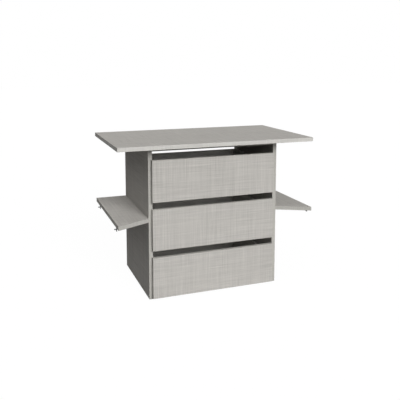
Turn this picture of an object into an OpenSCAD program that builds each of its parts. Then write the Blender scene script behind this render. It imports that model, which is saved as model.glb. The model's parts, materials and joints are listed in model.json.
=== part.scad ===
// Drawer chest for the inside of a wardrobe: three drawers between two side panels, a wide top
// board that reaches past them, and a shelf on each side at half height.
// Millimetres, +Z up, +X to the right, and the drawers open towards -Y.
// The origin is on the floor, under the middle of the top board.

/* [Carcass] */
// Width over both side panels
carcass_w = 664; // [560:1:900]
// Depth of the side panels
carcass_d = 482; // [475:1:600]
// Thickness of a side panel
panel_t = 19; // [16:1:25]
// Thickness of the bottom board
bottom_t = 19; // [16:1:22]
// Thickness of the two rails under the top board
rail_t = 19; // [16:1:22]
// Depth of the front rail, which lies flat
front_rail_d = 80; // [60:1:110]
// Clear height between the upper drawer's box and the upright rear rail
rear_rail_gap = 11; // [5:1:20]

/* [Top board] */
// Thickness of the top board
top_t = 19; // [16:1:28]
// How far the top board reaches past each side panel
top_side_reach = 160; // [100:1:250]
// How far the top board reaches past the side panels' front edges
top_front_reach = 81; // [40:1:120]

/* [Side shelves] */
// Thickness of a side shelf
shelf_t = 19; // [16:1:25]
// Height of the shelves' upper faces above the floor
shelf_top_z = 396; // [320:1:470]

/* [Drawer fronts] */
// Thickness of a drawer front
front_t = 19; // [18:1:22]
// How far a centred front stays inside each of the carcass's outer sides
front_inset = 19; // [12:1:25]
// Height of a drawer front
front_h = 199; // [190:1:230]
// Height of the finger gap between two fronts
front_gap = 33.5; // [20:0.5:45]
// Height of the lowest front's lower edge above the floor
front_floor_gap = 9; // [8:0.5:20]
// Height of the open gap between the upper front and the top board
top_gap = 58; // [45:1:80]
// How far the fronts sit to the left of the middle
front_shift = 5.5; // [0:0.5:8]
// Air between a front's back and the side panels' front edges
front_air = 3; // [1:0.5:5]

/* [Drawer boxes] */
// Thickness of the box walls
box_t = 12; // [11:1:16]
// Height of the box walls
box_h = 135; // [110:1:145]
// Depth of a box from its front wall's face to its back
box_d = 450; // [430:1:460]
// Height of a box's underside above its front's lower edge
box_lift = 16; // [15:0.5:25]
// Thickness of the bottom sheet
sheet_t = 5; // [3:0.5:6]
// Depth of the groove that holds the bottom sheet
groove_depth = 6; // [4:0.5:7]
// Height of the groove above the box's underside
groove_lift = 8; // [6:0.5:12]

/* [Runners] */
// How far a drawer opens
travel = 350; // [250:1:360]
// Space between a box and the side panel, which the runners fill
runner_gap = 13; // [12.5:0.1:15]
// Thickness of the runners' sheet metal
metal_t = 1.2; // [1:0.1:1.4]
// Radius of a roller
roller_r = 12; // [9:0.5:13]
// Radius of a roller's axle
axle_r = 2.5; // [2:0.1:3]
// Radius of an axle's head and shoulder
axle_head_r = 4; // [3.5:0.1:4.5]
// Thickness of an axle's head
axle_head_t = 0.8; // [0.6:0.1:1]
// Distance from a side panel's front edge to the front end of its runner
runner_setback = 2; // [1:0.5:8]
// Distance from a runner's front end to its roller's axle
roller_setback = 14; // [13.5:0.5:20]
// Distance from the drawer roller's axle to the back of the box
roller_inset = 18; // [14:0.5:30]
// Height of the tab that stops the drawer roller
stop_h = 2.5; // [2:0.5:4]

/* [Shelf supports] */
// Radius of the pin that plugs into a wardrobe wall
pin_r = 2.5; // [2:0.1:3]
// Length of that pin
pin_l = 10; // [8:0.5:14]
// Depth of the pin's axis below the shelf
pin_drop = 5; // [3.5:0.5:6]
// Width of a support
support_w = 14; // [10:1:20]
// Thickness of a support's plates
support_t = 2; // [1.5:0.1:3]
// Length of the tongue under the shelf
tongue_l = 16; // [12:1:24]
// How far the end plate hangs below the shelf
plate_drop = 15; // [12:0.5:20]
// Radius of the peg that holds the support in the shelf
peg_r = 2.5; // [2:0.1:3]
// Length of that peg
peg_l = 9; // [6:0.5:12]
// Distance from a shelf's outer front corner to the front support
support_front = 46; // [25:1:90]
// Distance from a shelf's back edge to the rear support
support_rear = 107; // [40:1:150]

/* [Fasteners] */
// Radius of a dowel
dowel_r = 4; // [3:0.5:4]
// Length of a dowel
dowel_l = 30; // [25:1:35]
// How deep a dowel sits in the face that it is set into
dowel_in = 12; // [8:1:13]
// Radius of a cam housing
cam_r = 7.5; // [7:0.1:8]
// How far a cam housing reaches past its bolt's axis
cam_below = 4.5; // [4:0.1:5.5]
// How far a cam housing sits below the board's face
cam_recess = 0.5; // [0.3:0.1:1]
// Distance from a joint to its cam's axis
cam_reach = 34; // [30:1:40]
// Radius of a cam bolt's shaft
bolt_r = 2; // [1.8:0.1:2.5]
// Radius of a cam bolt's head
bolt_head_r = 3; // [2.8:0.1:3.4]
// Length of a cam bolt's thread
bolt_thread_l = 11; // [8:0.5:12]
// Distance from a rail's long edges to its dowels
rail_dowel_inset = 20; // [15:1:25]
// Distance from a side panel's front and back edges to the outer dowels
dowel_inset = 60; // [50:1:80]
// Distance from those edges to the cams of the bottom board
cam_inset = 110; // [100:1:130]
// Distance from those edges to the shelf screws
screw_inset = 160; // [140:1:200]
// Radius of a shelf screw
shelf_screw_r = 2.5; // [2:0.1:3]
// Length of a shelf screw
shelf_screw_l = 50; // [40:1:60]
// Radius of a shelf screw's head
shelf_head_r = 5; // [4.5:0.1:6]
// Thickness of a shelf screw's head
shelf_head_t = 3; // [2.5:0.1:4]
// Radius of a box screw
box_screw_r = 2; // [1.6:0.1:2.2]
// Length of a box screw
box_screw_l = 28; // [24:1:29]
// Radius of a box screw's head
box_head_r = 3.5; // [3:0.1:4]
// Thickness of a box screw's head
box_head_t = 2.4; // [2:0.1:3]
// Height of the lower box screws above the drawer runners
low_screw_rise = 15; // [10:1:25]
// Depth of the upper box screws below the box's top
high_screw_drop = 25; // [15:1:30]
// Distance from a box's side walls to the screws of its front
front_screw_inset = 88; // [40:1:200]
// Radius of a runner screw
runner_screw_r = 1.75; // [1.5:0.05:2]
// Length of a cabinet runner's screw
cabinet_screw_l = 13; // [10:0.5:14]
// Length of a drawer runner's screw
drawer_screw_l = 10; // [8:0.5:10.5]
// Radius of a runner screw's head
runner_head_r = 3.2; // [2.8:0.1:3.6]
// Thickness of a runner screw's head
runner_head_t = 0.8; // [0.6:0.1:0.8]
// Distance from a cabinet runner's front end to its first screw
first_screw_inset = 45; // [40:1:60]
// Distance between a cabinet runner's screws
cabinet_screw_pitch = 160; // [100:1:165]
// Distance from a box's ends to the outer screws of its runners
drawer_screw_inset = 70; // [60:1:120]

/* [Clearances] */
// Clearance round a fastener in its hole
hole_gap = 0.05; // [0.02:0.01:0.08]
// Clearance of the bottom sheet in its groove
groove_gap = 0.1; // [0.05:0.05:0.3]
// Clearance between moving parts of the runners
run_gap = 0.3; // [0.2:0.05:0.4]
// Gap under a cabinet roller
roller_floor_gap = 0.8; // [0.5:0.1:1.2]
// Play of a drawer runner's track under the cabinet runner's upper flange
track_play = 1.3; // [0.8:0.1:2]
// Gap between a cabinet runner's flanges and the drawer runner
flange_gap = 0.8; // [0.6:0.1:1]

/* [Hidden] */
$fn = 48;
// How far a cutting shape reaches past the face that it opens
cut = 1;

// The drawers, counted from the floor
LOWER = 0;
MIDDLE = 1;
UPPER = 2;

// Carcass and top board
top_w = carcass_w + 2 * top_side_reach;
top_d = carcass_d + top_front_reach;
carcass_h = front_z(UPPER) + front_h + top_gap;
back_y = top_d / 2;
side_y = back_y - carcass_d;
top_front_y = -top_d / 2;
side_x = carcass_w / 2;
inner_x = side_x - panel_t;
panel_mid_x = side_x - panel_t / 2;
end_x = top_w / 2;
shelf_z = shelf_top_z - shelf_t;
shelf_mid_z = shelf_top_z - shelf_t / 2;
rear_rail_z = box_z(UPPER) + box_h + rear_rail_gap;

// Drawers
function front_z(i) = front_floor_gap + i * (front_h + front_gap);
function box_z(i) = front_z(i) + box_lift;
front_y = side_y - front_air - front_t;
box_y = side_y - front_air;
box_back_y = box_y + box_d;
box_x = inner_x - runner_gap;
box_inner_x = box_x - box_t;

// Runners: u is the distance from the side panel's inner face, and heights are above the foot
function runner_z(i) = box_z(i) + runner_lift;
runner_lift = 1;
runner_y = side_y + runner_setback;
flange_u = runner_gap - metal_t - flange_gap;
web_u = runner_gap - metal_t;
roller_u = metal_t + runner_head_t + axle_head_t + 2 * run_gap;
roller_end_u = web_u - axle_head_t - 2 * run_gap;
cabinet_axle_y = runner_y + roller_setback;
cabinet_axle_z = metal_t + roller_floor_gap + roller_r;
drawer_axle_y = box_back_y - roller_inset;
drawer_axle_z = metal_t + run_gap + roller_r;
track_z = cabinet_axle_z + roller_r + run_gap;
runner_h = track_z + 2 * metal_t + track_play;
runner_end_y = drawer_axle_y + roller_r + run_gap;
end_tab_h = drawer_axle_z + axle_head_r;
stop_rise = roller_r - stop_h + run_gap;
stop_y = drawer_axle_y - travel - sqrt(roller_r * roller_r - stop_rise * stop_rise) - run_gap;
web_margin = 2;
web_low_z = drawer_axle_z - axle_head_r - web_margin;
cabinet_screw_z = runner_h / 2;
drawer_screw_z = runner_h + web_margin + runner_head_r;
web_high_z = drawer_screw_z + runner_head_r + web_margin;
rim_hole_count = 4;
rim_hole_r = (roller_r - axle_r) / 6;
rim_hole_ring = (roller_r + axle_r) / 2;

// Places of the fasteners
bottom_dowel_y = [side_y + dowel_inset, back_y - dowel_inset];
bottom_cam_y = [side_y + cam_inset, back_y - cam_inset];
top_dowel_y = [side_y + front_rail_d + rail_dowel_inset, back_y - cam_inset];
top_cam_y = [side_y + front_rail_d + dowel_inset, back_y - screw_inset];
shelf_dowel_y = [side_y + dowel_inset, back_y - dowel_inset];
shelf_screw_y = [side_y + screw_inset, back_y - screw_inset];
front_rail_z = carcass_h - rail_t / 2;
front_rail_dowel_y = [side_y + rail_dowel_inset, side_y + front_rail_d - rail_dowel_inset];
rear_rail_dowel_z = [rear_rail_z + rail_dowel_inset, carcass_h - rail_dowel_inset];
rear_rail_cam_z = (rear_rail_z + carcass_h) / 2;
first_screw_y = runner_y + first_screw_inset;
cabinet_screw_y = [for (k = [0 : 2]) first_screw_y + k * cabinet_screw_pitch];
drawer_screw_y = [
    box_y + drawer_screw_inset, (box_y + box_back_y) / 2, box_back_y - drawer_screw_inset
];
box_screw_lift = [web_high_z + low_screw_rise, box_h - high_screw_drop];
front_screw_x = box_inner_x - front_screw_inset;
cam_slot_depth = 1.5;
cam_slot_w = 1.2;
hex_r = 2;
hex_depth = 2;

// Bars along an axis, from a to b
module bar_x(a, b, y, z, r) {
    translate([a, y, z]) rotate([0, 90, 0]) cylinder(r = r, h = b - a);
}

module bar_z(a, b, x, y, r) {
    translate([x, y, a]) cylinder(r = r, h = b - a);
}

// A board from its low corner to its high corner
module block(low, high) {
    translate(low) cube(high - low);
}

module on_both_sides() {
    children();
    mirror([1, 0, 0]) children();
}

// Dowels of the left half, or their holes when gap is the clearance
module left_dowels(gap) {
    r = dowel_r + gap;
    for (y = bottom_dowel_y)
        bar_x(-inner_x - dowel_in, -inner_x - dowel_in + dowel_l, y, bottom_t / 2, r);
    for (y = front_rail_dowel_y)
        bar_x(-inner_x - dowel_in, -inner_x - dowel_in + dowel_l, y, front_rail_z, r);
    for (z = rear_rail_dowel_z)
        bar_x(-inner_x - dowel_in, -inner_x - dowel_in + dowel_l, back_y - rail_t / 2, z, r);
    for (y = shelf_dowel_y)
        bar_x(-side_x + dowel_in - dowel_l, -side_x + dowel_in, y, shelf_mid_z, r);
    for (y = top_dowel_y)
        bar_z(carcass_h + dowel_in - dowel_l, carcass_h + dowel_in, -panel_mid_x, y, r);
}

// Puts a cam fitting at each of its places in the left half. The fitting's +Z runs from the
// joint into the board that holds the cam, whose housing is let in from the side of +X.
module at_left_cams() {
    for (y = bottom_cam_y)
        translate([-inner_x, y, bottom_t / 2]) rotate([0, 90, 0]) children(0);
    translate([-inner_x, side_y + front_rail_d / 2, front_rail_z]) rotate([0, 90, 0]) children(1);
    translate([-inner_x, back_y - rail_t / 2, rear_rail_cam_z])
        rotate([-90, 0, 0]) rotate([0, 90, 0]) children(1);
    for (y = top_cam_y)
        translate([-panel_mid_x, y, carcass_h]) rotate([180, 0, 0]) children(2);
}

module cam_bolt(gap) {
    translate([0, 0, -bolt_thread_l]) cylinder(r = bolt_r + gap, h = bolt_thread_l + cam_reach);
    translate([0, 0, cam_reach - bolt_head_r])
        cylinder(r = bolt_head_r + gap, h = 2 * bolt_head_r);
}

module cam_disc(board_t, recess, gap) {
    top = board_t / 2 - recess;
    translate([top, 0, cam_reach]) rotate([0, -90, 0])
        cylinder(r = cam_r + gap, h = top + cam_below + gap);
}

module cam_housing(board_t) {
    difference() {
        cam_disc(board_t, cam_recess, 0);
        cam_bolt(hole_gap);
        translate([board_t / 2 - cam_recess, 0, cam_reach])
            cube([2 * cam_slot_depth, cam_r, cam_slot_w], center = true);
    }
}

module cam_hole(board_t) {
    cam_bolt(hole_gap);
    cam_disc(board_t, -cut, hole_gap);
}

module left_cam_holes() {
    at_left_cams() {
        cam_hole(bottom_t);
        cam_hole(rail_t);
        cam_hole(panel_t);
    }
}

// Screws point along +Z. A sunk screw's head starts at the origin and a round head ends there.
module sunk_screw(head_r, head_t, r, l) {
    cylinder(r = head_r, h = head_t);
    cylinder(r = r, h = l);
}

module sunk_hole(head_r, head_t, r, l) {
    translate([0, 0, -cut]) cylinder(r = head_r + hole_gap, h = cut + head_t);
    cylinder(r = r + hole_gap, h = l);
}

module round_screw(l) {
    translate([0, 0, -runner_head_t]) cylinder(r = runner_head_r, h = runner_head_t);
    cylinder(r = runner_screw_r, h = l);
}

module round_hole(l) {
    translate([0, 0, -cut]) cylinder(r = runner_screw_r + hole_gap, h = cut + l);
}

module at_left_shelf_screws() {
    for (y = shelf_screw_y)
        translate([-inner_x, y, shelf_mid_z]) rotate([0, -90, 0]) children();
}

module shelf_screw() {
    difference() {
        sunk_screw(shelf_head_r, shelf_head_t, shelf_screw_r, shelf_screw_l);
        translate([0, 0, -cut]) cylinder(r = hex_r, h = cut + hex_depth, $fn = 6);
    }
}

module shelf_screw_hole() {
    sunk_hole(shelf_head_r, shelf_head_t, shelf_screw_r, shelf_screw_l);
}

// Screws through the webs of cabinet runner i into the left side panel
module at_left_cabinet_screws(i) {
    for (y = cabinet_screw_y)
        translate([-inner_x + metal_t, y, runner_z(i) + cabinet_screw_z])
            rotate([0, -90, 0]) children();
}

// Screws through the web of drawer runner i into the box's left side
module at_left_drawer_screws(i) {
    for (y = drawer_screw_y)
        translate([-box_x - metal_t, y, runner_z(i) + drawer_screw_z])
            rotate([0, 90, 0]) children();
}

// Screws through the box's left side into its front and back walls
module at_left_corner_screws(i) {
    for (y = [box_y + box_t / 2, box_back_y - box_t / 2], lift = box_screw_lift)
        translate([-box_x, y, box_z(i) + lift]) rotate([0, 90, 0]) children();
}

// Screws through the box's front wall into the drawer front
module at_front_screws(i) {
    for (x = [-front_screw_x, front_screw_x], lift = box_screw_lift)
        translate([x, box_y + box_t, box_z(i) + lift]) rotate([90, 0, 0]) children();
}

module box_screw() {
    sunk_screw(box_head_r, box_head_t, box_screw_r, box_screw_l);
}

module box_screw_hole() {
    sunk_hole(box_head_r, box_head_t, box_screw_r, box_screw_l);
}

module left_side_board() {
    difference() {
        block([-side_x, side_y, 0], [-inner_x, back_y, carcass_h]);
        left_dowels(hole_gap);
        left_cam_holes();
        at_left_shelf_screws() shelf_screw_hole();
        for (i = [LOWER : UPPER])
            at_left_cabinet_screws(i) round_hole(cabinet_screw_l);
    }
}

// A board that crosses from side to side, with the holes of its dowels and cams
module cross_board(low, high) {
    difference() {
        block(low, high);
        on_both_sides() {
            left_dowels(hole_gap);
            left_cam_holes();
        }
    }
}

module at_left_supports() {
    for (y = [top_front_y + support_front, back_y - support_rear])
        translate([-end_x, y, shelf_z]) children();
}

module support_peg(gap) {
    bar_z(0, peg_l, tongue_l / 2, 0, peg_r + gap);
}

// A support under the end of a shelf that reaches from the origin along +X
module shelf_support() {
    half_w = support_w / 2;
    block([0, -half_w, -support_t], [tongue_l, half_w, 0]);
    block([0, -half_w, -plate_drop], [support_t, half_w, 0]);
    bar_x(-pin_l, support_t / 2, 0, -pin_drop, pin_r);
    support_peg(0);
}

module left_shelf_board() {
    difference() {
        translate([0, 0, shelf_z]) linear_extrude(shelf_t) polygon([
            [-side_x, side_y], [-side_x, back_y], [-end_x, back_y], [-end_x, top_front_y]
        ]);
        left_dowels(hole_gap);
        at_left_shelf_screws() shelf_screw_hole();
        at_left_supports() support_peg(hole_gap);
    }
}

// Parts of the carcass
module top_panel() {
    color("gainsboro")
        cross_board([-end_x, top_front_y, carcass_h], [end_x, back_y, carcass_h + top_t]);
}

module left_side_panel() {
    color("gainsboro") left_side_board();
}

module right_side_panel() {
    color("gainsboro") mirror([1, 0, 0]) left_side_board();
}

module bottom_panel() {
    color("gainsboro") cross_board([-inner_x, side_y, 0], [inner_x, back_y, bottom_t]);
}

module front_rail() {
    rail_back_y = side_y + front_rail_d;
    color("gainsboro")
        cross_board([-inner_x, side_y, carcass_h - rail_t], [inner_x, rail_back_y, carcass_h]);
}

module rear_rail() {
    color("gainsboro")
        cross_board([-inner_x, back_y - rail_t, rear_rail_z], [inner_x, back_y, carcass_h]);
}

module left_shelf() {
    color("gainsboro") left_shelf_board();
}

module right_shelf() {
    color("gainsboro") mirror([1, 0, 0]) left_shelf_board();
}

module shelf_supports() {
    color("silver") on_both_sides() at_left_supports() shelf_support();
}

module dowels() {
    color("burlywood") on_both_sides() left_dowels(0);
}

module cam_housings() {
    color("silver") on_both_sides() at_left_cams() {
        cam_housing(bottom_t);
        cam_housing(rail_t);
        cam_housing(panel_t);
    }
}

module cam_bolts() {
    color("silver") on_both_sides() at_left_cams() {
        cam_bolt(0);
        cam_bolt(0);
        cam_bolt(0);
    }
}

module shelf_screws() {
    color("silver") on_both_sides() at_left_shelf_screws() shelf_screw();
}

module cabinet_runner_screws() {
    color("silver") on_both_sides() for (i = [LOWER : UPPER])
        at_left_cabinet_screws(i) round_screw(cabinet_screw_l);
}

// Parts of drawer i
module drawer_front(i) {
    half_w = side_x - front_inset;
    color("gainsboro") difference() {
        block([-half_w - front_shift, front_y, front_z(i)],
            [half_w - front_shift, box_y, front_z(i) + front_h]);
        at_front_screws(i) box_screw_hole();
    }
}

// The space that the bottom sheet's groove takes out of the box's walls
module groove(i) {
    x = box_inner_x + groove_depth;
    z = box_z(i) + groove_lift;
    block([-x, box_y + box_t - groove_depth, z],
        [x, box_back_y - box_t + groove_depth, z + sheet_t + 2 * groove_gap]);
}

module drawer_box_front(i) {
    color("white") difference() {
        block([-box_inner_x, box_y, box_z(i)], [box_inner_x, box_y + box_t, box_z(i) + box_h]);
        groove(i);
        at_front_screws(i) box_screw_hole();
        on_both_sides() at_left_corner_screws(i) box_screw_hole();
    }
}

module drawer_back(i) {
    back_front_y = box_back_y - box_t;
    color("white") difference() {
        block([-box_inner_x, back_front_y, box_z(i)],
            [box_inner_x, box_back_y, box_z(i) + box_h]);
        groove(i);
        on_both_sides() at_left_corner_screws(i) box_screw_hole();
    }
}

module drawer_left_side(i) {
    color("white") difference() {
        block([-box_x, box_y, box_z(i)], [-box_inner_x, box_back_y, box_z(i) + box_h]);
        groove(i);
        at_left_corner_screws(i) box_screw_hole();
        at_left_drawer_screws(i) round_hole(drawer_screw_l);
    }
}

module drawer_right_side(i) {
    mirror([1, 0, 0]) drawer_left_side(i);
}

module drawer_bottom(i) {
    x = box_inner_x + groove_depth - groove_gap;
    z = box_z(i) + groove_lift + groove_gap;
    inset = box_t - groove_depth + groove_gap;
    color("white") block([-x, box_y + inset, z], [x, box_back_y - inset, z + sheet_t]);
}

module drawer_screws(i) {
    color("silver") {
        at_front_screws(i) box_screw();
        on_both_sides() at_left_corner_screws(i) box_screw();
    }
}

module drawer_runner_screws(i) {
    color("silver") on_both_sides() at_left_drawer_screws(i) round_screw(drawer_screw_l);
}

// A roller in the left half, with the axle's bore and holes in its rim
module roller(y, z) {
    bore_low_u = roller_u - cut;
    bore_end_u = roller_end_u + cut;
    difference() {
        bar_x(-inner_x + roller_u, -inner_x + roller_end_u, y, z, roller_r);
        bar_x(-inner_x + bore_low_u, -inner_x + bore_end_u, y, z, axle_r + hole_gap);
        for (k = [1 : rim_hole_count]) {
            turn = k * 360 / rim_hole_count;
            bar_x(-inner_x + bore_low_u, -inner_x + bore_end_u,
                y + rim_hole_ring * cos(turn), z + rim_hole_ring * sin(turn), rim_hole_r);
        }
    }
}

module drawer_rollers(i) {
    color("whitesmoke") on_both_sides() roller(drawer_axle_y, runner_z(i) + drawer_axle_z);
}

module cabinet_rollers(i) {
    color("whitesmoke") on_both_sides() roller(cabinet_axle_y, runner_z(i) + cabinet_axle_z);
}

// The drawer's left runner: a web on the box, a track outwards and the roller's axle
module drawer_left_runner(i) {
    x = -inner_x;
    z = runner_z(i);
    y = box_y + runner_setback;
    axle_z = z + drawer_axle_z;
    head_end_u = roller_u - run_gap;
    color("white") difference() {
        union() {
            block([x + web_u, y, z + web_low_z], [-box_x, box_back_y, z + web_high_z]);
            block([x + roller_u, y, z + track_z], [-box_x, box_back_y, z + track_z + metal_t]);
            bar_x(x + head_end_u - axle_head_t, -box_x, drawer_axle_y, axle_z, axle_r);
            bar_x(x + head_end_u - axle_head_t, x + head_end_u, drawer_axle_y, axle_z,
                axle_head_r);
            bar_x(x + roller_end_u + run_gap, -box_x, drawer_axle_y, axle_z, axle_head_r);
        }
        at_left_drawer_screws(i) round_hole(metal_t + cut);
    }
}

module drawer_right_runner(i) {
    mirror([1, 0, 0]) drawer_left_runner(i);
}

// The cabinet's left runner: a web on the side panel, a foot and an upper flange, the tabs that
// stop the drawer's roller at each end of its travel, and the front roller's axle
module cabinet_left_runner(i) {
    x = -inner_x;
    z = runner_z(i);
    top_z = z + runner_h;
    end_y = runner_end_y + metal_t;
    axle_z = z + cabinet_axle_z;
    head_u = roller_end_u + run_gap;
    color("white") difference() {
        union() {
            block([x, runner_y, z], [x + metal_t, end_y, top_z]);
            block([x, runner_y, z], [x + flange_u, end_y, z + metal_t]);
            block([x, runner_y, top_z - metal_t], [x + flange_u, end_y, top_z]);
            block([x, runner_end_y, z], [x + flange_u, end_y, z + end_tab_h]);
            block([x + roller_u, stop_y - metal_t, z],
                [x + flange_u, stop_y, z + metal_t + stop_h]);
            bar_x(x, x + head_u + axle_head_t, cabinet_axle_y, axle_z, axle_r);
            bar_x(x + head_u, x + head_u + axle_head_t, cabinet_axle_y, axle_z, axle_head_r);
            bar_x(x, x + roller_u - run_gap, cabinet_axle_y, axle_z, axle_head_r);
        }
        at_left_cabinet_screws(i) round_hole(metal_t + cut);
    }
}

module cabinet_right_runner(i) {
    mirror([1, 0, 0]) cabinet_left_runner(i);
}

top_panel();
left_side_panel();
right_side_panel();
bottom_panel();
front_rail();
rear_rail();
left_shelf();
right_shelf();
shelf_supports();
dowels();
cam_housings();
cam_bolts();
shelf_screws();
cabinet_runner_screws();
drawer_front(UPPER);  // upper_drawer_front
drawer_box_front(UPPER);  // upper_drawer_box_front
drawer_left_side(UPPER);  // upper_drawer_left_side
drawer_right_side(UPPER);  // upper_drawer_right_side
drawer_back(UPPER);  // upper_drawer_back
drawer_bottom(UPPER);  // upper_drawer_bottom
drawer_left_runner(UPPER);  // upper_drawer_left_runner
drawer_right_runner(UPPER);  // upper_drawer_right_runner
drawer_rollers(UPPER);  // upper_drawer_rollers
drawer_screws(UPPER);  // upper_drawer_screws
drawer_runner_screws(UPPER);  // upper_drawer_runner_screws
cabinet_left_runner(UPPER);  // upper_cabinet_left_runner
cabinet_right_runner(UPPER);  // upper_cabinet_right_runner
cabinet_rollers(UPPER);  // upper_cabinet_rollers
drawer_front(MIDDLE);  // middle_drawer_front
drawer_box_front(MIDDLE);  // middle_drawer_box_front
drawer_left_side(MIDDLE);  // middle_drawer_left_side
drawer_right_side(MIDDLE);  // middle_drawer_right_side
drawer_back(MIDDLE);  // middle_drawer_back
drawer_bottom(MIDDLE);  // middle_drawer_bottom
drawer_left_runner(MIDDLE);  // middle_drawer_left_runner
drawer_right_runner(MIDDLE);  // middle_drawer_right_runner
drawer_rollers(MIDDLE);  // middle_drawer_rollers
drawer_screws(MIDDLE);  // middle_drawer_screws
drawer_runner_screws(MIDDLE);  // middle_drawer_runner_screws
cabinet_left_runner(MIDDLE);  // middle_cabinet_left_runner
cabinet_right_runner(MIDDLE);  // middle_cabinet_right_runner
cabinet_rollers(MIDDLE);  // middle_cabinet_rollers
drawer_front(LOWER);  // lower_drawer_front
drawer_box_front(LOWER);  // lower_drawer_box_front
drawer_left_side(LOWER);  // lower_drawer_left_side
drawer_right_side(LOWER);  // lower_drawer_right_side
drawer_back(LOWER);  // lower_drawer_back
drawer_bottom(LOWER);  // lower_drawer_bottom
drawer_left_runner(LOWER);  // lower_drawer_left_runner
drawer_right_runner(LOWER);  // lower_drawer_right_runner
drawer_rollers(LOWER);  // lower_drawer_rollers
drawer_screws(LOWER);  // lower_drawer_screws
drawer_runner_screws(LOWER);  // lower_drawer_runner_screws
cabinet_left_runner(LOWER);  // lower_cabinet_left_runner
cabinet_right_runner(LOWER);  // lower_cabinet_right_runner
cabinet_rollers(LOWER);  // lower_cabinet_rollers
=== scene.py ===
# %% [markdown]
# # A wardrobe insert with three drawers
#
# The real object is flat-packed furniture: laminated boards, drawer boxes on roller runners and
# a shelf on each side that pins to the wardrobe's walls. The construction comes from the packed
# model, in metres, and this script only gives it its looks. Each cell makes one thing and prints
# what it made.

# %% Load the construction
import json
import math
import bmesh
import bpy
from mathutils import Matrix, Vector


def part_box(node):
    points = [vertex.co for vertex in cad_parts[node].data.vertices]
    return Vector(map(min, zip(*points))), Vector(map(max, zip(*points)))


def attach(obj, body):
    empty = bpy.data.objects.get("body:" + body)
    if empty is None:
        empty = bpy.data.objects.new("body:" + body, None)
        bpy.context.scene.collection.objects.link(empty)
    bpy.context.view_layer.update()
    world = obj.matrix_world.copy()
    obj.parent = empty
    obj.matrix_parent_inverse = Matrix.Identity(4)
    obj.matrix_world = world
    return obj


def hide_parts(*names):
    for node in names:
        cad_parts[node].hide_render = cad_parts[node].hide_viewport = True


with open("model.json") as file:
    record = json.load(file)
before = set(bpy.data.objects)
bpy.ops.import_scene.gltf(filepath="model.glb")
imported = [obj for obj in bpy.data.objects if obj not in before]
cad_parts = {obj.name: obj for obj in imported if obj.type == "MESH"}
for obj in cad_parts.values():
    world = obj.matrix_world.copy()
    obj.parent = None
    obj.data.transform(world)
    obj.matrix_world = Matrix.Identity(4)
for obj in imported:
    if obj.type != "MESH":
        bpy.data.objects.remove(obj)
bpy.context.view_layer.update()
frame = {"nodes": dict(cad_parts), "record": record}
nodes = frame["nodes"]
body_of_node = {
    node: body
    for body, members in frame["record"]["behaviour"]["bodies"].items()
    for node in members
}
slot_of_node = {part["node"]: part["material_slot"] for part in frame["record"]["subparts"]}

# %% [markdown]
# ## Wiring node trees by writing sums
#
# A shader is a graph of nodes, and so is a Geometry Nodes tree. Their arithmetic is hard to read
# as nodes. Here a small class wraps a socket, so that `1 - mask` or `length * 0.85` adds the Math
# node itself. Every other node comes from one method, which takes the node's type, its settings
# and what goes into its sockets.

# %% Sockets that add up
class Wire:
    """An output socket that takes part in sums."""

    def __init__(self, bench, socket):
        self.bench = bench
        self.socket = socket

    def sum_of(self, operation, first, second):
        return self.bench.node("ShaderNodeMath", {"operation": operation}, {0: first, 1: second})

    def __add__(self, other):
        return self.sum_of("ADD", self, other)

    def __sub__(self, other):
        return self.sum_of("SUBTRACT", self, other)

    def __rsub__(self, other):
        return self.sum_of("SUBTRACT", other, self)

    def __mul__(self, other):
        return self.sum_of("MULTIPLY", self, other)

    def __truediv__(self, other):
        return self.sum_of("DIVIDE", self, other)

    __radd__ = __add__
    __rmul__ = __mul__

    def __abs__(self):
        return self.sum_of("ABSOLUTE", self, 0)


class Bench:
    """A node tree, with one method that adds any node."""

    def __init__(self, tree):
        self.tree = tree
        self.tree.nodes.clear()

    def node(self, kind, settings=None, sockets=None, output=0):
        made = self.tree.nodes.new(kind)
        for name, value in (settings or {}).items():
            setattr(made, name, value)
        for key, value in (sockets or {}).items():
            if isinstance(value, (Wire, list)):
                for wire in value if isinstance(value, list) else [value]:
                    self.tree.links.new(wire.socket, made.inputs[key])
            else:
                made.inputs[key].default_value = value
        return Wire(self, made.outputs[output]) if len(made.outputs) else None


print("a sum of wires adds its own Math nodes")

# %% A bench for one material
class Finish(Bench):
    """A material's tree, with the few nodes that every finish here uses."""

    def __init__(self, name):
        self.material = bpy.data.materials.new(name)
        self.material.use_nodes = True
        super().__init__(self.material.node_tree)

    def place(self):
        return self.node("ShaderNodeTexCoord", output="Object")

    def scaled(self, vector, factors):
        return self.node("ShaderNodeVectorMath", {"operation": "MULTIPLY"}, {0: vector, 1: factors})

    def noise(self, cell, detail=2.0, shift=0.0):
        """Noise around 0 whose cells have those sizes along X, Y and Z.

        Two layers with different shifts don't repeat each other.
        """
        moved = self.node("ShaderNodeVectorMath", {"operation": "ADD"}, {
            0: self.place(), 1: (shift, 2 * shift, 3 * shift)})
        vector = self.scaled(moved, tuple(1 / size for size in cell))
        sockets = {"Vector": vector, "Scale": 1.0, "Detail": detail, "Roughness": 0.5}
        return self.node("ShaderNodeTexNoise", {}, sockets) - 0.5

    def tinted(self, colour, factor):
        """The colour times a factor that varies around 1."""
        sockets = {0: colour, "Scale": factor}
        return self.node("ShaderNodeVectorMath", {"operation": "SCALE"}, sockets)

    def bumps(self, height, depth, strength):
        sockets = {"Height": height, "Distance": depth, "Strength": strength}
        return self.node("ShaderNodeBump", {}, sockets)

    def surface(self, **sockets):
        named = {name.replace("_", " "): value for name, value in sockets.items()}
        shader = self.node("ShaderNodeBsdfPrincipled", {}, named)
        self.node("ShaderNodeOutputMaterial", {}, {"Surface": shader})
        return self.material


def linear(red, green, blue):
    """A screen colour from 0 to 255 as the linear values that shaders take."""
    def one(value):
        value = value / 255
        return value / 12.92 if value <= 0.04045 else ((value + 0.055) / 1.055) ** 2.4
    return (one(red), one(green), one(blue))


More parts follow.
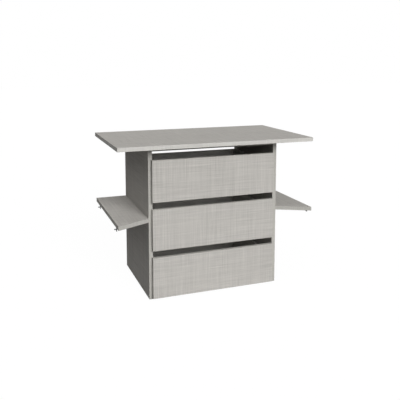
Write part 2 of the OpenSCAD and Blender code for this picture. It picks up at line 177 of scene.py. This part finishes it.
print("screen grey 128 is", round(linear(128, 128, 128)[0], 3), "to a shader")

# %% [markdown]
# ## The woven laminate
#
# The boards are chipboard under a printed paper that looks like linen: fine threads in two
# directions, with thicker slubs among them and soft bands where the cloth is denser. A flat
# image would need a map on every board. Instead, each thread direction is noise that is stretched
# along one axis of the object, and a face takes only the two directions that lie in it, which
# its normal tells. The pattern then runs on from board to board at its true size.

# %% Threads along each axis
MM = 0.001
LAMINATE = linear(188, 185, 180)
THREAD = (0.9 * MM, 45 * MM)
SLUB = (3.4 * MM, 150 * MM)
RIB = (6.5 * MM, 420 * MM)
PATCH = 110 * MM
THREAD_TONE = 0.12
SLUB_TONE = 0.34
RIB_TONE = 0.22
PATCH_TONE = 2.2
PATCH_SHIFTS = (1.3, 2.9, 4.7)
PAPER_DEPTH = 0.06 * MM


def across_faces(bench):
    """For each axis, 1 where the axis lies in the face and 0 where it leaves it."""
    facing = bench.node("ShaderNodeTexCoord", output="Normal")
    parts = bench.node("ShaderNodeSeparateXYZ", {}, {0: facing}).socket.node.outputs
    return [1 - abs(Wire(bench, part)) for part in parts]


def threads(bench, in_face, size, shift):
    """Streaks along each axis, as wide and as long as the two numbers of size."""
    width, length = size
    streaks = []
    for axis in range(3):
        cell = [width] * 3
        cell[axis] = length
        streaks.append(bench.noise(cell, shift=shift) * in_face[axis])
    return streaks


def woven_laminate(name, colour, contrast=1.0):
    bench = Finish(name)
    in_face = across_faces(bench)
    fine = threads(bench, in_face, THREAD, shift=0.11)
    slubs = threads(bench, in_face, SLUB, shift=0.37)
    ribs = threads(bench, in_face, RIB, shift=0.71)
    dense = [1 + PATCH_TONE * bench.noise([PATCH] * 3, shift=shift) for shift in PATCH_SHIFTS]
    fine = fine[0] + fine[1] + fine[2]
    slubs = slubs[0] * dense[0] + slubs[1] * dense[1] + slubs[2] * dense[2]
    ribs = ribs[0] * dense[0] + ribs[1] * dense[1] + ribs[2] * dense[2]
    shade = 1 + contrast * (THREAD_TONE * fine + SLUB_TONE * slubs + RIB_TONE * ribs)
    return bench.surface(
        Base_Color=bench.tinted(colour, shade),
        Roughness=0.74 + 0.16 * fine,
        Specular_IOR_Level=0.05,
        Normal=bench.bumps(fine + 0.6 * slubs, PAPER_DEPTH, strength=0.25),
    )


laminate = woven_laminate("woven_laminate", LAMINATE)
print("laminate wired with", len(laminate.node_tree.nodes), "nodes")

# %% [markdown]
# The narrow sides of each board are covered by a glued strip of the same print. The tones of the
# strips here are painted light and shade. A painted shade makes the strip a little darker than the
# faces on every board but the top one, and on the drawer fronts. Painted light makes it paler on
# the top board, whose unshaded front is the edge that everyone sees. One finish could be tinted by
# where it lies, but a second material on the narrow faces is plainer, and the same function makes
# it.

# %% Edge strips
# Painted shade and painted light: the darker strip stands for shade on the narrow sides of most
# boards, and the paler one for light on the top board's unshaded front.
SHADED_STRIP = linear(184, 182, 176)
LIT_STRIP = linear(204, 202, 197)
STRIP_CONTRAST = 0.7
edge_strip = woven_laminate("edge_strip", SHADED_STRIP, STRIP_CONTRAST)
lit_strip = woven_laminate("pale_edge_strip", LIT_STRIP, STRIP_CONTRAST)
print("strips:", edge_strip.name, "and", lit_strip.name)

# %% [markdown]
# ## Foil and powder coat
#
# The drawer boxes are thin board in a plain pale foil, with a faint fibre along the board. The
# runners are sheet steel with a white powder coat, which dries with a fine orange peel. One
# flat colour would make both look like paper. A little noise in the colour, the gloss and the
# bump tells them apart, and it stays weak, because both are made to look even.

# %% Foil and powder coat
FOIL = linear(186, 184, 180)
FIBRE = (1.2 * MM, 60 * MM)
COAT = linear(222, 222, 218)


def foil():
    bench = Finish("box_foil")
    in_face = across_faces(bench)
    fibre = threads(bench, in_face, FIBRE, shift=0.53)
    fibre = fibre[0] + fibre[1] + 0.3 * fibre[2]
    grain = bench.noise([1.6 * MM] * 3, detail=3.0)
    cloud = bench.noise([60 * MM] * 3)
    tone = 1 + 0.16 * fibre + 0.08 * grain + 0.06 * cloud
    return bench.surface(
        Base_Color=bench.tinted(FOIL, tone),
        Roughness=0.62 + 0.1 * cloud,
        Specular_IOR_Level=0.1,
        Normal=bench.bumps(grain + fibre, 0.04 * MM, strength=0.25),
    )


def powder_coat():
    bench = Finish("powder_coat")
    peel = bench.noise([1.1 * MM] * 3, detail=1.0)
    rub = bench.noise([4 * MM, 30 * MM, 4 * MM])
    return bench.surface(
        Base_Color=bench.tinted(COAT, 1 + 0.05 * rub),
        Roughness=0.4 + 0.12 * rub,
        Specular_IOR_Level=0.3,
        Normal=bench.bumps(peel, 0.05 * MM, strength=0.3),
    )


box_foil = foil()
white_coat = powder_coat()
print("made", box_foil.name, "and", white_coat.name)

# %% [markdown]
# ## Plastic, plated steel and beech
#
# The rollers are moulded plastic, the screws and cams are zinc-plated, the shelf supports are
# darker steel and the dowels are turned from beech. They are small, so what matters is how they
# catch the light: metal with uneven gloss and fine scratches, plastic with a soft sheen, and
# beech with short flecks along the grain. Both metals come from one function.

# %% Plastic, zinc and beech
PLASTIC = linear(228, 227, 222)
ZINC = linear(168, 169, 168)
SUPPORT_STEEL = linear(84, 85, 85)
BEECH = linear(206, 172, 128)


def moulded_plastic():
    bench = Finish("roller_plastic")
    flow = bench.noise([7 * MM] * 3)
    fine = bench.noise([0.7 * MM] * 3, detail=1.0)
    return bench.surface(
        Base_Color=bench.tinted(PLASTIC, 1 + 0.05 * flow),
        Roughness=0.42 + 0.15 * fine,
        Normal=bench.bumps(fine, 0.02 * MM, strength=0.2),
    )


def plated_steel(name, colour, roughness):
    bench = Finish(name)
    bloom = bench.noise([5 * MM] * 3, detail=3.0)
    scratch = bench.noise([6 * MM, 0.4 * MM, 0.4 * MM])
    return bench.surface(
        Base_Color=bench.tinted(colour, 1 + 0.25 * bloom),
        Metallic=0.85,
        Roughness=roughness + 0.25 * bloom + 0.1 * scratch,
        Normal=bench.bumps(scratch, 0.03 * MM, strength=0.2),
    )


def beech():
    bench = Finish("beech")
    fleck = bench.noise([9 * MM, 0.8 * MM, 0.8 * MM], detail=3.0)
    return bench.surface(
        Base_Color=bench.tinted(BEECH, 1 + 0.35 * fleck),
        Roughness=0.6 + 0.1 * fleck,
        Normal=bench.bumps(fleck, 0.1 * MM, strength=0.3),
    )


roller_plastic = moulded_plastic()
zinc = plated_steel("zinc_plate", ZINC, roughness=0.38)
dark_steel = plated_steel("support_steel", SUPPORT_STEEL, roughness=0.55)
print("made", roller_plastic.name + ",", zinc.name, "and", dark_steel.name)

# %% [markdown]
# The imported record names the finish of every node. Nodes whose shape is right as it is, such as
# the dowels and the cams, get theirs in their own material slots. A list by hand would do the
# same, but it would go stale if a node were added.

# %% Finish the nodes that stay
finish_of_slot = {
    "woven_laminate": laminate,
    "box_board": box_foil,
    "coated_steel": white_coat,
    "roller_plastic": roller_plastic,
    "steel": zinc,
    "dowel_wood": beech(),
}
for name, node in nodes.items():
    for slot in node.material_slots:
        slot.material = finish_of_slot[slot_of_node[name]]
print("finishes:", ", ".join(finish_of_slot))

# %% [markdown]
# ## Boards with eased edges
#
# No real board has a knife edge: the strip along it is rounded by less than a millimetre, and
# that line of light is what makes a board look solid. A Bevel modifier would round the rims of the
# drilled holes too, which are crisp on a real board. So each board is a copy of its own solid,
# and only the edges on the outside of its box are bevelled in the mesh. Its narrow sides get
# the edge strip as their material.

# %% Find the outer edges and round them
WELD = 0.001 * MM
NEAR = 0.02 * MM
SLIGHT_TURN = math.radians(15)
SQUARE_TURN = math.radians(60)
BEVEL_STEPS = 3


def ridges(work, turn):
    """Convex edges whose two faces turn by more than that angle."""
    return [
        edge for edge in work.edges
        if len(edge.link_faces) == 2 and edge.is_convex and edge.calc_face_angle() > turn
    ]


def outer_edges(work, low, high):
    """Ridges that lie on two sides of the box at once, so not the rims of holes."""
    def sides(point):
        return sum(min(abs(point[k] - low[k]), abs(point[k] - high[k])) < NEAR for k in range(3))
    return [
        edge for edge in ridges(work, SLIGHT_TURN)
        if all(sides(corner.co) >= 2 for corner in edge.verts)
    ]


def square_edges(work, low, high):
    """Every ridge that turns sharply, anywhere on the piece."""
    return ridges(work, SQUARE_TURN)


def eased_copy(node_name, rounding, choose=outer_edges):
    low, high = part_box(node_name)
    mesh = nodes[node_name].data.copy()
    work = bmesh.new()
    work.from_mesh(mesh)
    bmesh.ops.remove_doubles(work, verts=work.verts, dist=WELD)
    edges = choose(work, low, high)
    bmesh.ops.bevel(
        work, geom=edges, offset=rounding, segments=BEVEL_STEPS, profile=0.5, affect="EDGES",
        clamp_overlap=True)
    work.to_mesh(mesh)
    work.free()
    mesh.materials.clear()
    return mesh, len(edges)


print("an edge is rounded in", BEVEL_STEPS, "steps")

# %% Put a piece in place of its solid
FLAT_ON = 0.9


def stand_in(node_name, mesh, suffix):
    piece = bpy.data.objects.new(node_name + suffix, mesh)
    bpy.context.scene.collection.objects.link(piece)
    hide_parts(node_name)
    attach(piece, body_of_node[node_name])


def board(node_name, face, strip, rounding):
    low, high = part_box(node_name)
    size = [high[k] - low[k] for k in range(3)]
    thin = size.index(min(size))
    mesh, eased = eased_copy(node_name, rounding)
    mesh.materials.append(face)
    mesh.materials.append(strip)
    for polygon in mesh.polygons:
        polygon.material_index = 0 if abs(polygon.normal[thin]) > FLAT_ON else 1
    stand_in(node_name, mesh, "_board")
    print(node_name, "edges eased:", eased)


print("a face is a narrow side where its normal is under", FLAT_ON, "across the board")

# %% [markdown]
# ## Carcass and drawers
#
# The chest is a top board, two sides, a bottom and two rails, with a shelf on each side. Each
# drawer is a box of thinner board behind a front. Drawing them anew would risk a board that
# misses its dowel holes, so one function makes all of them from their solids, and only the
# face, the strip and the rounding differ.

# %% The carcass
EDGE_ROUND = 0.7 * MM
# The top board's narrow sides take the paler strip, which is painted light. The other boards take
# the darker strip, which is painted shade.
board("top_panel", laminate, lit_strip, EDGE_ROUND)
for name in (
        "left_side_panel", "right_side_panel", "bottom_panel", "front_rail", "rear_rail",
        "left_shelf", "right_shelf"):
    board(name, laminate, edge_strip, EDGE_ROUND)

# %% The drawers
DRAWERS = ("upper", "middle", "lower")
BOX_ROUND = 0.5 * MM
for drawer in DRAWERS:
    # The fronts' narrow sides take the darker strip, which is painted shade.
    board(drawer + "_drawer_front", laminate, edge_strip, EDGE_ROUND)
    for name in ("box_front", "left_side", "right_side", "back", "bottom"):
        board(drawer + "_drawer_" + name, box_foil, box_foil, BOX_ROUND)

# %% [markdown]
# ## Folded steel
#
# A runner is a strip of steel that is folded along its length, so its bends are round on the
# outside. A shelf support is cut from thicker plate and tumbled, which breaks all of its edges.
# A runner could be swept along a line, but its slots, its stop and the riveted axle would have
# to be cut again. The easing of the boards serves both, with a rounding that suits the sheet.

# %% Runners and shelf supports
FOLD_ROUND = 0.5 * MM
TUMBLED = 0.3 * MM
for drawer in DRAWERS:
    for name in ("drawer_left", "drawer_right", "cabinet_left", "cabinet_right"):
        runner = drawer + "_" + name + "_runner"
        mesh, eased = eased_copy(runner, FOLD_ROUND)
        mesh.materials.append(white_coat)
        stand_in(runner, mesh, "_folded")
        print(runner, "bends and edges eased:", eased)
mesh, eased = eased_copy("shelf_supports", TUMBLED, square_edges)
mesh.materials.append(dark_steel)
stand_in("shelf_supports", mesh, "_tumbled")
print("shelf supports, edges broken:", eased)

# %% [markdown]
# ## Where the screws sit
#
# The construction already knows where every screw is, so nothing is placed by hand. Each loose
# part of a screw node is one screw, its longest direction is its axis, and its wider end is the
# head. That gives a point and a direction for each, and Geometry Nodes can then grow a detailed
# screw on every point.

# %% Read seats from the solids
END_ZONE = 0.1 * MM


def loose_parts(node_name):
    """The corners of each solid in a node, found by walking along the edges."""
    work = bmesh.new()
    work.from_mesh(nodes[node_name].data)
    bmesh.ops.remove_doubles(work, verts=work.verts, dist=WELD)
    found, seen = [], set()
    for start in work.verts:
        if start in seen:
            continue
        seen.add(start)
        heap, part = [start], []
        while heap:
            corner = heap.pop()
            part.append(corner.co.copy())
            for edge in corner.link_edges:
                other = edge.other_vert(corner)
                if other not in seen:
                    seen.add(other)
                    heap.append(other)
        found.append(part)
    work.free()
    return found


def extent(part):
    low = Vector([min(corner[k] for corner in part) for k in range(3)])
    high = Vector([max(corner[k] for corner in part) for k in range(3)])
    return low, high


def screw_seat(part):
    """Centre of the head's outer face, the way the screw points, and its length."""
    low, high = extent(part)
    size = high - low
    axis = max(range(3), key=lambda k: size[k])
    middle = (low + high) / 2
    along = Vector([k == axis for k in range(3)])
    wide = []
    for end in (low[axis], high[axis]):
        near = [corner for corner in part if abs(corner[axis] - end) < END_ZONE]
        wide.append(max((corner - middle).cross(along).length for corner in near))
    head, tip = (low, high) if wide[0] > wide[1] else (high, low)
    centre = middle.copy()
    centre[axis] = head[axis]
    aim = Vector((0, 0, 0))
    aim[axis] = 1 if tip[axis] > head[axis] else -1
    return centre, aim, size[axis]


seats = {
    name: [screw_seat(part) for part in loose_parts(name)]
    for name in nodes if "screws" in name
}
for name, found in seats.items():
    print(name, len(found), "screws,", round(found[0][2] / MM, 1), "mm long")

# %% [markdown]
# ## One recipe for every screw
#
# The three kinds of screw differ only in numbers: the thick screws that hold the shelves have a
# hexagonal socket, the box screws a sunk cross head and the runner screws a low round head. So
# they share one tree, with their sizes as named inputs. A true helix would take a curve and
# thousands of faces for each screw. A row of small cones along the shank looks the same at this
# size and stays light.

# %% A bench for Geometry Nodes
class Recipe(Bench):
    """A Geometry Nodes tree whose sizes are named inputs."""

    def __init__(self, name, sizes, switches=()):
        group = bpy.data.node_groups.new(name, "GeometryNodeTree")
        super().__init__(group)
        sockets = [("Points", "Geometry")]
        sockets += [(label, "Float") for label in sizes]
        sockets += [(label, "Bool") for label in switches]
        sockets += [("Finish", "Material")]
        for label, kind in sockets:
            group.interface.new_socket(label, in_out="INPUT", socket_type="NodeSocket" + kind)
        group.interface.new_socket("Pieces", in_out="OUTPUT", socket_type="NodeSocketGeometry")
        self.inputs = self.tree.nodes.new("NodeGroupInput")

    def given(self, label):
        return Wire(self, self.inputs.outputs[label])

    def vector(self, x=0.0, y=0.0, z=0.0):
        return self.node("ShaderNodeCombineXYZ", {}, {0: x, 1: y, 2: z})

    def moved(self, geometry, **changes):
        sockets = {"Geometry": geometry}
        sockets.update({name.capitalize(): value for name, value in changes.items()})
        return self.node("GeometryNodeTransform", {}, sockets)

    def cone(self, bottom, top, depth, sides):
        return self.node("GeometryNodeMeshCone", {}, {
            "Vertices": sides, "Radius Bottom": bottom, "Radius Top": top, "Depth": depth})

    def rod(self, radius, depth, sides):
        return self.node("GeometryNodeMeshCylinder", {}, {
            "Vertices": sides, "Radius": radius, "Depth": depth})

    def joined(self, *geometries):
        return self.node("GeometryNodeJoinGeometry", {}, {0: list(geometries)})

    def cut(self, body, *tools):
        settings = {"operation": "DIFFERENCE", "solver": "EXACT"}
        sockets = {"Mesh 1": body, "Mesh 2": list(tools)}
        return self.node("GeometryNodeMeshBoolean", settings, sockets)

    def on_points(self, points, shape, **sockets):
        named = {"Points": points, "Instance": shape}
        named.update(sockets)
        return self.node("GeometryNodeInstanceOnPoints", {}, named)

    def finish(self, shape):
        """A copy of the shape on every point, turned the way that the point aims."""
        aim = self.node(
            "GeometryNodeInputNamedAttribute", {"data_type": "FLOAT_VECTOR"}, {"Name": "aim"})
        turn = self.node("FunctionNodeAlignRotationToVector", {"axis": "Z"}, {"Vector": aim})
        copies = self.on_points(self.given("Points"), shape, Rotation=turn)
        solid = self.node("GeometryNodeRealizeInstances", {}, {"Geometry": copies})
        coloured = self.node("GeometryNodeSetMaterial", {}, {
            "Geometry": solid, "Material": self.given("Finish")})
        self.node("NodeGroupOutput", {}, {0: coloured})
        return self.tree


print("a recipe grows its shape on every point")

# %% The screw's recipe
BLADE_SHARE = 0.26
SHANK_SHARE = 0.86
TIP_SHARE = 1 - SHANK_SHARE
BLUNT_TIP = 0.25
THREADED_SHARE = 0.84
RIDGE_SHARE = 0.7
HEAD_SIDES = 28
SHANK_SIDES = 20
RIDGE_SIDES = 16


def screw_recipe():
    recipe = Recipe(
        "screw",
        ("Face radius", "Seat radius", "Head height", "Core radius", "Thread radius", "Length",
         "Pitch", "Drive width", "Drive depth"),
        ("Hexagonal drive",))
    given = recipe.given
    drive, deep = given("Drive width"), given("Drive depth")
    high = given("Head height")
    head = recipe.cone(given("Face radius"), given("Seat radius"), high, HEAD_SIDES)
    blade = recipe.node("GeometryNodeMeshCube", {}, {
        0: recipe.vector(drive, drive * BLADE_SHARE, 2 * deep)})
    blades = recipe.joined(blade, recipe.moved(blade, rotation=(0, 0, math.radians(90))))
    socket = recipe.rod(drive * 0.5, 2 * deep, 6)
    tool = recipe.node("GeometryNodeSwitch", {"input_type": "GEOMETRY"}, {
        "Switch": given("Hexagonal drive"), "False": blades, "True": socket})
    core = given("Core radius")
    length = given("Length")
    shank = recipe.cone(core, core, length * SHANK_SHARE, SHANK_SIDES)
    tip = recipe.moved(
        recipe.cone(core, core * BLUNT_TIP, length * TIP_SHARE, SHANK_SIDES),
        translation=recipe.vector(z=length * SHANK_SHARE))
    pitch = given("Pitch")
    line = recipe.node("GeometryNodeMeshLine", {"mode": "OFFSET"}, {
        "Count": (length * THREADED_SHARE - high) / pitch,
        "Start Location": recipe.vector(z=high), "Offset": recipe.vector(z=pitch)})
    ridge = recipe.cone(given("Thread radius"), core, pitch * RIDGE_SHARE, RIDGE_SIDES)
    thread = recipe.on_points(line, ridge)
    return recipe.finish(recipe.joined(recipe.cut(head, tool), shank, tip, thread))


screws = screw_recipe()
print("screw recipe has", len(screws.nodes), "nodes")

# %% [markdown]
# A recipe's result is turned into a plain mesh, one for each node, so that a screw rides along
# with the board that it holds. Live instances would save memory, but an exported model drops
# them.

# %% Grow a recipe on points
SHARPEST_SMOOTH = math.radians(32)


def grown(node_name, tree, places, sizes, suffix):
    """Replace a node by what the tree grows on its places, which are (point, aim) pairs."""
    start = bpy.data.meshes.new(node_name + suffix)
    start.from_pydata([place for place, aim in places], [], [])
    aims = start.attributes.new("aim", "FLOAT_VECTOR", "POINT")
    for row, (place, aim) in zip(aims.data, places):
        row.vector = aim
    holder = bpy.data.objects.new(node_name + "_points", start)
    bpy.context.scene.collection.objects.link(holder)
    modifier = holder.modifiers.new("recipe", "NODES")
    modifier.node_group = tree
    for item in tree.interface.items_tree:
        if item.in_out == "INPUT" and item.name in sizes:
            modifier[item.identifier] = sizes[item.name]
    now = bpy.context.evaluated_depsgraph_get()
    mesh = bpy.data.meshes.new_from_object(holder.evaluated_get(now), depsgraph=now)
    bpy.data.objects.remove(holder)
    mesh.shade_smooth()
    mesh.set_sharp_from_angle(angle=SHARPEST_SMOOTH)
    stand_in(node_name, mesh, suffix)
    print(node_name, len(places), "places,", len(mesh.polygons), "faces")


print("edges stay crisp above", round(math.degrees(SHARPEST_SMOOTH)), "degrees")

# %% Grow the screws
SHELF_SCREW = {
    "Face radius": 5 * MM, "Seat radius": 4.6 * MM, "Head height": 3 * MM,
    "Core radius": 1.9 * MM, "Thread radius": 2.5 * MM, "Pitch": 3 * MM,
    "Drive width": 4 * MM, "Drive depth": 2 * MM, "Hexagonal drive": True,
}
BOX_SCREW = {
    "Face radius": 3.5 * MM, "Seat radius": 1.6 * MM, "Head height": 2.4 * MM,
    "Core radius": 1.4 * MM, "Thread radius": 2 * MM, "Pitch": 1.8 * MM,
    "Drive width": 3.4 * MM, "Drive depth": 1.4 * MM, "Hexagonal drive": False,
}
RUNNER_SCREW = {
    "Face radius": 2.9 * MM, "Seat radius": 3.2 * MM, "Head height": 0.8 * MM,
    "Core radius": 1.3 * MM, "Thread radius": 1.75 * MM, "Pitch": 1.4 * MM,
    "Drive width": 2.8 * MM, "Drive depth": 0.6 * MM, "Hexagonal drive": False,
}
for name, found in seats.items():
    kind = BOX_SCREW
    if name == "shelf_screws":
        kind = SHELF_SCREW
    elif "runner" in name:
        kind = RUNNER_SCREW
    sizes = dict(kind, Length=found[0][2], Finish=zinc)
    grown(name, screws, [(centre, aim) for centre, aim, _ in found], sizes, "_threaded")

# %% [markdown]
# ## Rollers
#
# A runner's roller is moulded in one piece: a tyre with rounded shoulders, a thin web with four
# round holes that save plastic, and a hub that turns on the runner's axle. It could be spun from
# one profile, but the holes would then need a cut through everything. Here the tyre and the hub
# are profiles swept along a circle, and the web is a disc that is drilled at equal turns.

# %% The roller's recipe
RIM_SIDES = 64
HUB_SIDES = 32
HOLE_SIDES = 24
SHOULDER_STEPS = 3
HOLES = 4


def roller_recipe():
    recipe = Recipe("roller", (
        "Radius", "Width", "Tyre thickness", "Shoulder", "Bore", "Hub thickness", "Web thickness",
        "Hole radius", "Hole ring"))
    given = recipe.given

    def ring(outer, thickness, width):
        circle = recipe.node("GeometryNodeCurvePrimitiveCircle", {}, {
            "Resolution": RIM_SIDES, "Radius": outer - thickness * 0.5})
        profile = recipe.node("GeometryNodeCurvePrimitiveQuadrilateral", {}, {
            "Width": thickness, "Height": width})
        rounded = recipe.node("GeometryNodeFilletCurve", {"mode": "POLY"}, {
            "Curve": profile, "Count": SHOULDER_STEPS, "Radius": given("Shoulder")})
        return recipe.node("GeometryNodeCurveToMesh", {}, {
            "Curve": circle, "Profile Curve": rounded})

    radius, width, bore = given("Radius"), given("Width"), given("Bore")
    tyre = ring(radius, given("Tyre thickness"), width)
    hub = ring(bore + given("Hub thickness"), given("Hub thickness"), width)
    web = given("Web thickness")
    disc = recipe.rod(radius - given("Tyre thickness") * 0.5, web, RIM_SIDES)
    corners = recipe.node("GeometryNodeMeshCircle", {}, {
        "Vertices": HOLES, "Radius": given("Hole ring")})
    drill = recipe.rod(given("Hole radius"), 3 * web, HOLE_SIDES)
    drills = recipe.node("GeometryNodeRealizeInstances", {}, {
        "Geometry": recipe.on_points(corners, drill)})
    middle = recipe.rod(bore + given("Hub thickness") * 0.5, 3 * web, HUB_SIDES)
    return recipe.finish(recipe.joined(tyre, hub, recipe.cut(disc, drills, middle)))


rollers = roller_recipe()
print("roller recipe has", len(rollers.nodes), "nodes")

# %% Grow the rollers
ROLLER = {
    "Tyre thickness": 2.6 * MM, "Shoulder": 0.7 * MM, "Bore": 2.6 * MM,
    "Hub thickness": 1.6 * MM, "Web thickness": 2 * MM, "Hole radius": 1.6 * MM,
    "Hole ring": 6.8 * MM,
}
SIDEWAYS = Vector((1, 0, 0))
for drawer in DRAWERS:
    for name in ("drawer", "cabinet"):
        node_name = drawer + "_" + name + "_rollers"
        places = []
        for part in loose_parts(node_name):
            low, high = extent(part)
            places.append(((low + high) / 2, SIDEWAYS))
        size = high - low
        sizes = dict(ROLLER, Radius=size.z / 2, Width=size.x, Finish=roller_plastic)
        grown(node_name, rollers, places, sizes, "_moulded")

# %% [markdown]
# ## A white floor that keeps a shadow
#
# The object stands on white, so bright that no horizon shows. A strong lamp would bleach a grey
# floor, but it would bleach the boards too. Instead the shader asks what kind of ray looks at it.
# The camera, and anything that mirrors, sees mostly white light with some of the paper's own
# shading left in it, which keeps the object's faint shadow. Light that bounces off the floor
# meets a mid grey, so that little of it comes back up to the undersides.

# %% Which rays see white
def seen_directly(bench):
    """1 for a ray from the camera or off a glossy or clear surface, and 0 for the rest."""
    seen = bench.node("ShaderNodeLightPath", output="Is Camera Ray")
    path = seen.socket.node.outputs
    for label in ("Is Glossy Ray", "Is Transmission Ray"):
        other = Wire(bench, path[label])
        seen = bench.node("ShaderNodeMath", {"operation": "MAXIMUM"}, {0: seen, 1: other})
    return seen


print("white for the camera and for what mirrors or lets through")

# %% Floor
WHITE = (1.0, 1.0, 1.0, 1.0)
FLOOR_SIZE = 40.0
FLOOR_TONE = (0.22, 0.22, 0.22, 1.0)
FLOOR_WHITE = 0.82
FLOOR_GLOW = 1.19


def floor_finish():
    bench = Finish("pale_floor")
    paper = bench.node("ShaderNodeBsdfDiffuse", {}, {"Color": FLOOR_TONE})
    glow = bench.node("ShaderNodeEmission", {}, {"Color": WHITE, "Strength": FLOOR_GLOW})
    share = seen_directly(bench) * FLOOR_WHITE
    both = bench.node("ShaderNodeMixShader", {}, {0: share, 1: paper, 2: glow})
    bench.node("ShaderNodeOutputMaterial", {}, {"Surface": both})
    return bench.material


work = bmesh.new()
bmesh.ops.create_grid(work, x_segments=1, y_segments=1, size=FLOOR_SIZE / 2)
floor_mesh = bpy.data.meshes.new("floor")
work.to_mesh(floor_mesh)
work.free()
floor_mesh.materials.append(floor_finish())
floor = bpy.data.objects.new("floor", floor_mesh)
bpy.context.scene.collection.objects.link(floor)
print("floor", FLOOR_SIZE, "m wide")

# %% [markdown]
# Beyond the floor lies the world, and it does the same: white for the camera, and next to no
# light for the object. A bright world would light every face alike and make the boards look
# flat, so the shading is left to the lamps.

# %% World
AMBIENT = 0.02
world = bpy.data.worlds.new("studio")
world.use_nodes = True
bpy.context.scene.world = world
sky = Bench(world.node_tree)
ambient = sky.node("ShaderNodeBackground", {}, {"Color": WHITE, "Strength": AMBIENT})
backdrop = sky.node("ShaderNodeBackground", {}, {"Color": WHITE, "Strength": 1.0})
both = sky.node("ShaderNodeMixShader", {}, {0: seen_directly(sky), 1: ambient, 2: backdrop})
sky.node("ShaderNodeOutputWorld", {}, {"Surface": both})
print("world lights the object at", AMBIENT)

# %% [markdown]
# ## Soft lamps
#
# The shadows have no hard edge, so the light came from large sources. An area lamp would need a
# place and a size, and it falls off with distance. A sun with a wide angle shades as softly and
# lights the whole object alike, also when a drawer comes out. The strongest is low in front: the
# fronts come out as bright as their colour and the side panels dark. One overhead and one high
# on the left lift the top board and the shelves, and under each overhang they leave a slow
# shade. One behind keeps the back from going black. It shines almost at the camera, where the
# top board would mirror it as a glare, so it is kept out of reflections.

# %% Lamps
def soft_sun(name, azimuth, elevation, softness, strength):
    """A large, distant soft light, with its angles in degrees.

    Azimuth 0 is straight in front and positive is to the right. At strength 1 a face that is
    turned to the lamp shows its own colour.
    """
    lamp = bpy.data.lights.new(name, "SUN")
    lamp.energy = strength * math.pi
    lamp.angle = math.radians(softness)
    holder = bpy.data.objects.new(name, lamp)
    turn, rise = math.radians(azimuth), math.radians(elevation)
    level = math.cos(rise)
    towards = Vector((math.sin(turn) * level, -math.cos(turn) * level, math.sin(rise)))
    holder.rotation_euler = towards.to_track_quat("Z", "Y").to_euler()
    bpy.context.scene.collection.objects.link(holder)


# azimuth, elevation, softness and strength of each lamp
LAMPS = {
    "key": (5, 26, 40, 0.91),
    "overhead": (0, 88, 100, 0.12),
    "high_left": (-60, 55, 60, 0.15),
    "behind": (170, 3, 30, 0.5),
}
for name, (azimuth, elevation, softness, strength) in LAMPS.items():
    soft_sun(name, azimuth, elevation, softness, strength)
bpy.data.objects["behind"].visible_glossy = False
print("lamps:", ", ".join(LAMPS))

# %% [markdown]
# ## The camera
#
# The picture was taken from the left, a little above the top board, and its uprights stay
# upright. A camera that looks down makes them lean, and a shifted lens keeps them parallel, as
# on a view camera. But every view has the same shift, and all of it would push the object out
# of the frame from elsewhere. So half is shift and half is a small tilt. The place and the focal
# length follow from the corners of the boards in the picture, because their sizes are known.

# %% Camera
LENS_MM = 50.25
SENSOR_MM = 36.0
EYE = (-0.9841, -2.6633, 1.1331)
LOOK_RIGHT = 20.229
LOOK_DOWN = 7.0
FRAME_SHIFT = -0.1796
FARTHEST = 100.0
lens = bpy.data.cameras.new("camera")
lens.lens = LENS_MM
lens.sensor_width = SENSOR_MM
lens.shift_y = FRAME_SHIFT
lens.clip_end = FARTHEST
camera = bpy.data.objects.new("camera", lens)
camera.location = EYE
camera.rotation_euler = (math.radians(90 - LOOK_DOWN), 0.0, math.radians(-LOOK_RIGHT))
bpy.context.scene.collection.objects.link(camera)
bpy.context.scene.camera = camera
bpy.context.scene.view_settings.view_transform = "Standard"
print("camera", LENS_MM, "mm, shift", FRAME_SHIFT)
